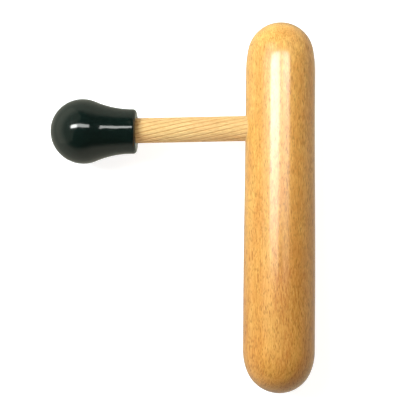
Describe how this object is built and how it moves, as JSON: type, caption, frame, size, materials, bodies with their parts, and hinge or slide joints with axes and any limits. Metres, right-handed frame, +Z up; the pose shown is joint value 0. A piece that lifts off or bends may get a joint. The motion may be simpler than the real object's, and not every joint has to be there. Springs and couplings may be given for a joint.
{
  "type": "t-handled hand mallet",
  "caption": "T-shaped hand mallet: a thick turned beech bar to hold, a spiral-grooved beech dowel out of its side, and a gloss black pear-shaped knob on the dowel's end.",
  "frame": {"origin": "middle of the underside of the whole mallet's box, on the table it lies on", "axes": "+Z up from the table, +Y along the bar towards its short end, and the stem and knob point along -X, leaning 1.4 degrees towards -Y and dipping 1.0 degree so that the knob's ball touches the table too"},
  "size_m": [0.134, 0.1864, 0.0362],
  "materials": {
    "varnished_beech": "turned beech, sanded smooth, clear gloss varnish",
    "bare_beech": "bare rolled dowel, matt",
    "black_plastic": "moulded, high gloss",
    "dried_glue": "dried wood glue, slightly clear"
  },
  "bodies": {
    "root": {"grip_bar": "varnished_beech", "stem_dowel": "bare_beech", "tip_knob": "black_plastic", "bar_glue": "dried_glue", "knob_glue": "dried_glue"}
  },
  "joints": []
}
